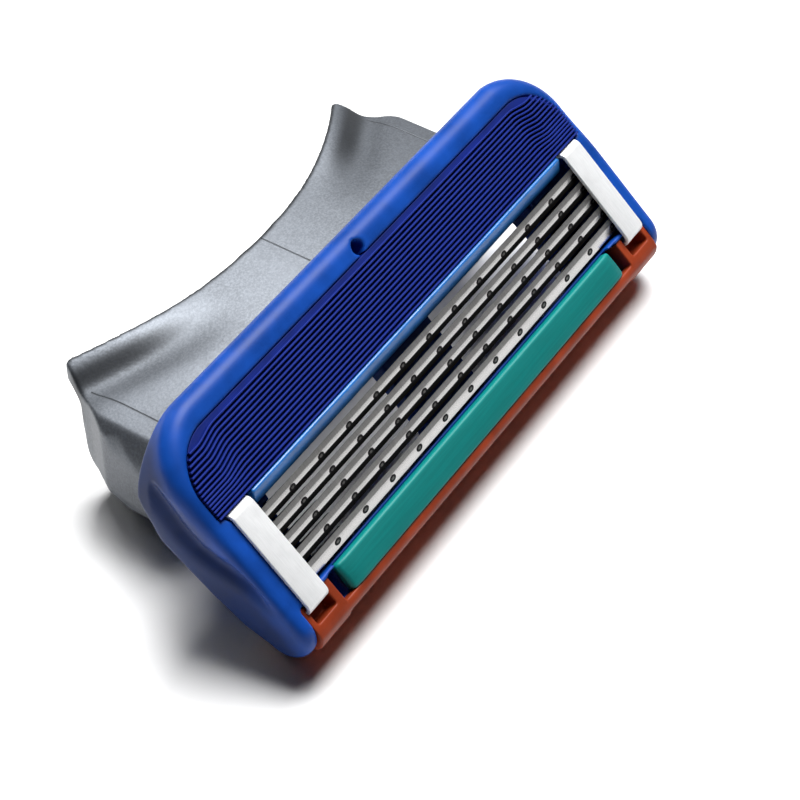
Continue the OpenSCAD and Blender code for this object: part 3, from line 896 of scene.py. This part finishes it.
class CARTRIDGE_OT_blades(bpy.types.Operator):
    """Five ground blades with their rows of weld spots"""
    bl_idname = "cartridge.blades"
    bl_label = "Blades"

    def execute(self, context):
        wanted = blade_sizes()
        steel = brushed_metal("blade_steel", colours().steel, 0.17, stain=0.08)
        ground = brushed_metal("blade_ground", [0.55 * c for c in colours().steel], 0.38,
                               lay=(9.0, 0.4, 0.4), stain=0.15)
        # painted shade: a dark copy of the blade steel for the lower faces and the rear of blades 1 to 4
        shaded = brushed_metal("blade_painted_shade", [0.06 * c for c in colours().steel], 0.5)
        burnt = brushed_metal("weld_ring", (0.035, 0.033, 0.035), 0.45, lay=(4.0, 4.0, 4.0), stain=0.4)
        bead = brushed_metal("weld_bead", (0.16, 0.155, 0.15), 0.35, lay=(4.0, 4.0, 4.0), stain=0.3)
        outline = [(0, -BLADE_T / 2), (-wanted.bevel_width, 0), (-wanted.shaded_back, 0), (-BLADE_WIDTH, 0),
                   (-BLADE_WIDTH, -BLADE_T), (-wanted.bevel_width, -BLADE_T)]
        for k in BLADES:
            place, start, end = blade_place(k)
            stations = np.linspace(start, end, 41)
            strip = loft(f"blade_strip_{k}", [[(u, y, z) for y, z in outline] for u in stations])
            strip.data.materials.append(steel)
            strip.data.materials.append(ground)
            strip.data.materials.append(shaded)
            # the rear of blades 1 to 4 gets the painted shade of the lower face
            rear = 0 if k == BLADES[-1] else 2
            finishes_and_shade = (1, 0, rear, 2, 2, 2)  # bevel, upper face, its rear, back, lower face, lower bevel
            for number, face in enumerate(strip.data.polygons[:len(finishes_and_shade) * (len(stations) - 1)]):
                face.material_index = finishes_and_shade[number % len(finishes_and_shade)]
            tree, spots = weld_tree("weld_rings", wanted.weld_length, wanted.weld_width, 0.012)
            rings = tree.made_object("weld_rings", spots, burnt)
            tree, spots = weld_tree("weld_beads", wanted.weld_length * 0.5, wanted.weld_width * 0.45, 0.022)
            beads = tree.made_object("weld_beads", spots, bead)
            blade = join(f"blade_{k}_strip", strip, rings, beads)
            blade.data.transform(place)
            hand_over(blade, HEAD, f"sprung_blade_{k}", [f"blade_{k}"], "blade_steel", sharp=12)
        return {"FINISHED"}


class CARTRIDGE_OT_supports(bpy.types.Operator):
    """Bent steel supports welded under the blades"""
    bl_idname = "cartridge.supports"
    bl_label = "Blade supports"

    def execute(self, context):
        # painted shade: the supports are a darker copy of the blade steel
        metal = brushed_metal("support_steel", [0.2 * c for c in colours().steel], 0.34)
        for k in BLADES:
            place, _, _ = blade_place(k)
            low, high = box_in(HEAD, f"blade_support_{k}")
            under = -BLADE_T - SUPPORT_T / 2
            front = place @ Vector((0, -blade_sizes().bevel_width - 0.1, under))
            back = place @ Vector((0, -BLADE_WIDTH, under))
            leg_v = low[1] + SUPPORT_T / 2
            path = rounded_path([(front.y, front.z), (leg_v, back.z), (leg_v, low[2])], [SUPPORT_BEND], 5)
            outline = ribbon(path, SUPPORT_T)
            support = loft(f"blade_{k}_support", [[(u, v, w) for v, w in outline] for u in (low[0], high[0])])
            soften_edges(support, 0.02, 2, 50)
            hand_over(support, HEAD, f"sprung_blade_{k}", [f"blade_support_{k}"], "support_steel", metal,
                      sharp=35)
        return {"FINISHED"}


class CARTRIDGE_OT_springs(bpy.types.Operator):
    """Pairs of moulded fingers that press each blade up"""
    bl_idname = "cartridge.springs"
    bl_label = "Spring arms"

    def execute(self, context):
        dark = moulded_plastic("spring_plastic", colours().spring, 0.42, grain=0.006)
        for k in BLADES:
            arms = cad_copy(f"spring_arms_{k}", HEAD, f"spring_arms_{k}_pair")
            join_flat_faces(arms)
            soften_edges(arms, 0.05, 3, 30)
            hand_over(arms, HEAD, "blade_unit", [f"spring_arms_{k}"], "spring_blue", dark, sharp=35)
        return {"FINISHED"}


# ---------------------------------------------------------------- yoke

YOKE_HALF = 18
# How far the cheeks are drawn in, and where
CHEEK_Y = [11, 13.7, 15.9, 17.5, 20.3]
CHEEK_DRAWN_IN = [0, 0.5, 1, 2, 3.4]


def shape_yoke(points):
    """Rounds the cheeks where they are drawn in, and flares the lips of the mouth towards their two tips"""
    x, y, z = points.T.copy()
    half = YOKE_HALF - np.interp(y, CHEEK_Y, CHEEK_DRAWN_IN)
    side_r, low_z, high_z = 3.4, 3.4, 6.4
    beyond = np.clip(np.maximum(low_z - z, z - high_z), 0, side_r)
    limit = half - side_r + np.sqrt(side_r ** 2 - beyond ** 2)
    horn = smooth_step((y - 14.5) / 4.5) * smooth_step((z - 6.4) / 2.5)
    x = np.sign(x) * np.minimum(np.abs(x), limit + 4 * horn)
    lip = SADDLE_Y + (LIP_Y - SADDLE_Y) * (x / LIP_HALF) ** 2
    aside = smooth_step((np.abs(x) - 5) / 8)
    near_lip = smooth_step((y - lip + 2.6) / 2.4)
    z += 0.4 * aside * near_lip * smooth_step((z - 6.8) / 1.2)
    valley = np.exp(-((y - lip + 2.8) / 1.3) ** 2) * aside * smooth_step((z - 6) / 2)
    z -= 0.4 * valley
    return np.column_stack([x, y, z])


class CARTRIDGE_OT_yoke(bpy.types.Operator):
    """Connector yoke with its mouth for the handle"""
    bl_idname = "cartridge.yoke"
    bl_label = "Yoke"

    def execute(self, context):
        yoke = cad_copy("yoke", YOKE, "yoke_shell")
        remould(yoke, 0.14, 0)
        move_points(yoke, shape_yoke(vertices(yoke.data)))
        remould(yoke, 0.12, 6, 190000)
        grey = satin_yoke("yoke_plastic", colours().yoke)
        hand_over(yoke, YOKE, "connector", ["yoke"], "yoke_grey", grey)
        return {"FINISHED"}


# ---------------------------------------------------------------- table, light and camera

def studio_walls():
    """Weak room light, a little stronger overhead and towards +X; the lamps do most of the lighting"""
    world = bpy.data.worlds.new("studio")
    world.use_nodes = True
    graph = Graph(world.node_tree)
    coords = graph.node("ShaderNodeTexCoord", output="Generated")
    x, _, height = graph.axes(coords)
    background = world.node_tree.nodes["Background"]
    light = graph.ramp(height, -0.15, 0.75) * (0.38 + 0.3 * x) + 0.06
    world.node_tree.links.new(light.socket, background.inputs["Strength"])
    return world


# Name, place in metres, width in metres and power in watts
LAMPS = [("key", (0.23, 0.08, 0.55), 0.36, 7.3), ("back", (0.1, 0.5, 0.3), 0.2, 0.4)]
# The camera's place from the head's origin, in millimetres, and the way it looks
EYE_FROM_HEAD = (-92.02, -54.45, 112.31)
EYE_DIRECTION = (0.574, 0.374, -0.729)


class CARTRIDGE_OT_stage(bpy.types.Operator):
    """Pale table, soft light and the camera"""
    bl_idname = "cartridge.stage"
    bl_label = "Stage"

    def execute(self, context):
        reach = 1.5
        table = new_object("table_top", [(-reach, -reach, 0), (reach, -reach, 0), (reach, reach, 0),
                                         (-reach, reach, 0)], [(0, 1, 2, 3)])
        table.data.materials.append(pale_table("table_finish", colours().table))
        context.scene.world = studio_walls()
        context.scene.view_settings.view_transform = "Standard"
        for name, place, width, power in LAMPS:
            light = bpy.data.lights.new(name, "AREA")
            light.size = width
            light.energy = power
            lamp = bpy.data.objects.new(name, light)
            lamp.location = place
            lamp.rotation_euler = (-Vector(place)).to_track_quat("-Z", "Y").to_euler()
            context.scene.collection.objects.link(lamp)
        camera = bpy.data.cameras.new("camera")
        camera.sensor_width = 36
        camera.lens = 112.5
        camera.clip_start = 0.01
        camera.clip_end = 10
        eye = bpy.data.objects.new("camera", camera)
        eye.location = HEAD.translation + Vector(EYE_FROM_HEAD) * MM
        eye.rotation_euler = Vector(EYE_DIRECTION).to_track_quat("-Z", "Y").to_euler()
        context.scene.collection.objects.link(eye)
        context.scene.camera = eye
        return {"FINISHED"}


# ---------------------------------------------------------------- add-on

OPERATORS = (CARTRIDGE_OT_stage, CARTRIDGE_OT_housing, CARTRIDGE_OT_fins, CARTRIDGE_OT_bar,
             CARTRIDGE_OT_strip, CARTRIDGE_OT_carrier, CARTRIDGE_OT_trimmer, CARTRIDGE_OT_clips,
             CARTRIDGE_OT_blades, CARTRIDGE_OT_supports, CARTRIDGE_OT_springs, CARTRIDGE_OT_yoke)


class CARTRIDGE_PT_sidebar(bpy.types.Panel):
    """Sizes, colours and a button for each piece"""
    bl_idname = "CARTRIDGE_PT_sidebar"
    bl_label = "Shaving Cartridge"
    bl_space_type = "VIEW_3D"
    bl_region_type = "UI"
    bl_category = "Cartridge"

    def draw(self, context):
        for group in (sizes(), blade_sizes(), colours()):
            box = self.layout.box()
            for name in group.__annotations__:
                box.prop(group, name)
        for operator in OPERATORS:
            self.layout.operator(operator.bl_idname)


GROUPS = {"cartridge_head": CartridgeHeadSizes, "cartridge_blades": CartridgeBladeSizes,
          "cartridge_colours": CartridgeColours}


def register():
    for kind in (*GROUPS.values(), *OPERATORS, CARTRIDGE_PT_sidebar):
        bpy.utils.register_class(kind)
    for name, group in GROUPS.items():
        setattr(bpy.types.Scene, name, PointerProperty(type=group))


def unregister():
    for name in GROUPS:
        delattr(bpy.types.Scene, name)
    for kind in (CARTRIDGE_PT_sidebar, *OPERATORS, *GROUPS.values()):
        bpy.utils.unregister_class(kind)


def main():
    register()
    for operator in OPERATORS:
        group, name = operator.bl_idname.split(".")
        getattr(getattr(bpy.ops, group), name)()


if __name__ == "__main__":
    main()
